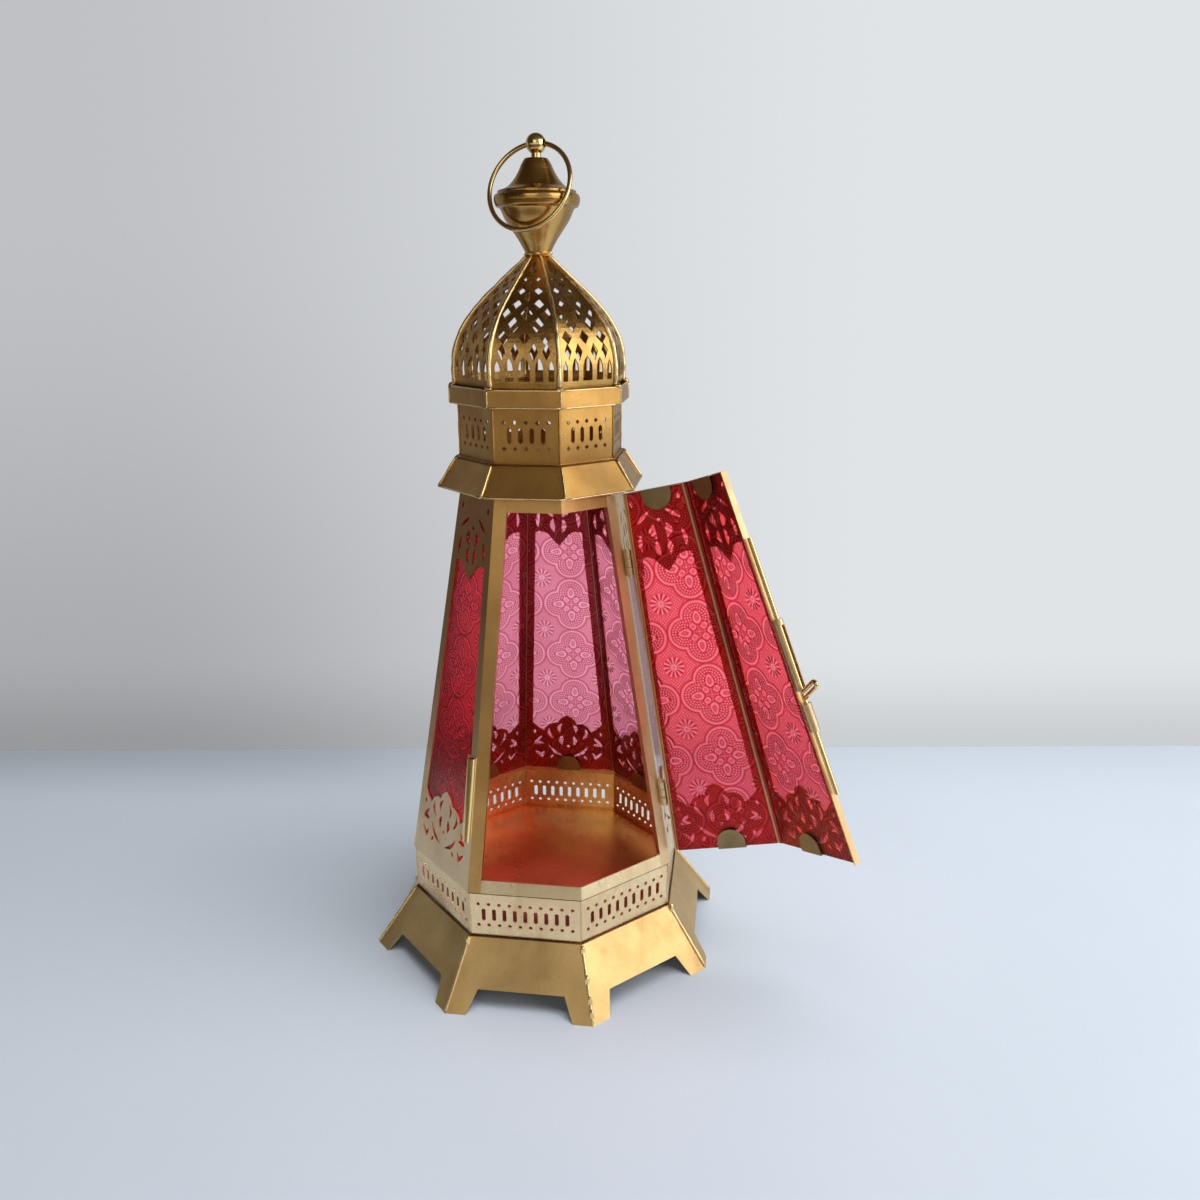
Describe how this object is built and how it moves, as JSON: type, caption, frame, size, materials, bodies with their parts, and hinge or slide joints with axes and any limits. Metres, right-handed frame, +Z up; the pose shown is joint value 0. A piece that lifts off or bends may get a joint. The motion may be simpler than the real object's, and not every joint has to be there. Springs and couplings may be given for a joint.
{
  "type": "ramadan fanous lantern",
  "caption": "Tapered eight-sided metal candle lantern with pierced panels, embossed red panes, an open two-leaf door, a pierced dome and a ring on its finial.",
  "frame": {"origin": "on the lantern's axis, at the level that the feet stand on", "axes": "+Z up along the axis to the finial; -Y out of the front side, whose doorway half is open; +X to the right, towards the door's hinge corner"},
  "size_m": [0.2707, 0.1954, 0.45],
  "materials": {
    "gold_sheet": "satin champagne-gold lacquer over sheet metal",
    "bright_brass": "semi-bright gold on spun and drawn pieces",
    "pane_glass": "red glass with a pressed flower pattern on the inner face"
  },
  "bodies": {
    "lantern": {"foot_skirt": "gold_sheet", "lower_gallery": "gold_sheet", "candle_floor": "gold_sheet", "door_sill": "gold_sheet", "door_lintel": "gold_sheet", "lock_post": "gold_sheet", "hinge_post": "gold_sheet", "side_panel_right": "gold_sheet", "side_panel_back_right": "gold_sheet", "side_panel_back": "gold_sheet", "side_panel_back_left": "gold_sheet", "side_panel_left": "gold_sheet", "side_panel_front_left": "gold_sheet", "pane_right": "pane_glass", "pane_back_right": "pane_glass", "pane_back": "pane_glass", "pane_back_left": "pane_glass", "pane_left": "pane_glass", "pane_front_left": "pane_glass", "pane_tabs": "gold_sheet", "eave": "gold_sheet", "drum": "gold_sheet", "collar": "gold_sheet", "dome_gores": "gold_sheet", "apex_washer": "gold_sheet", "finial_cup": "bright_brass", "finial_cone": "bright_brass", "finial_stud": "bright_brass", "finial_nut": "gold_sheet", "hinge_leaves": "gold_sheet", "hinge_pins": "bright_brass", "bolt_keeper": "gold_sheet"},
    "door": {"door_hinge_panel": "gold_sheet", "door_free_panel": "gold_sheet", "door_fold_strip": "gold_sheet", "door_pane_hinge_side": "pane_glass", "door_pane_free_side": "pane_glass", "door_pane_tabs": "gold_sheet", "door_hinge_leaves": "gold_sheet", "bolt_upper_guide": "gold_sheet", "bolt_lower_guide": "gold_sheet"},
    "latch_bolt": {"drop_bolt": "bright_brass"},
    "hanging_ring": {"hanging_ring": "bright_brass"}
  },
  "joints": [
    {"name": "door_hinge", "type": "hinge", "parent": "lantern", "child": "door", "pos_m": [0.07764, -0.03216, 0.0614], "axis": [-0.1568, 0.065, 0.9855], "range_deg": [-126.5, 30]},
    {"name": "bolt_slide", "type": "slide", "parent": "door", "child": "latch_bolt", "axis": [-0.3544, 0.183, 0.917], "range_m": [0, 0.032]},
    {"name": "ring_swing", "type": "hinge", "parent": "lantern", "child": "hanging_ring", "pos_m": [0, 0, 0.44494], "axis": [-0.9583, 0.2857, 0], "range_deg": [0, 316]}
  ]
}
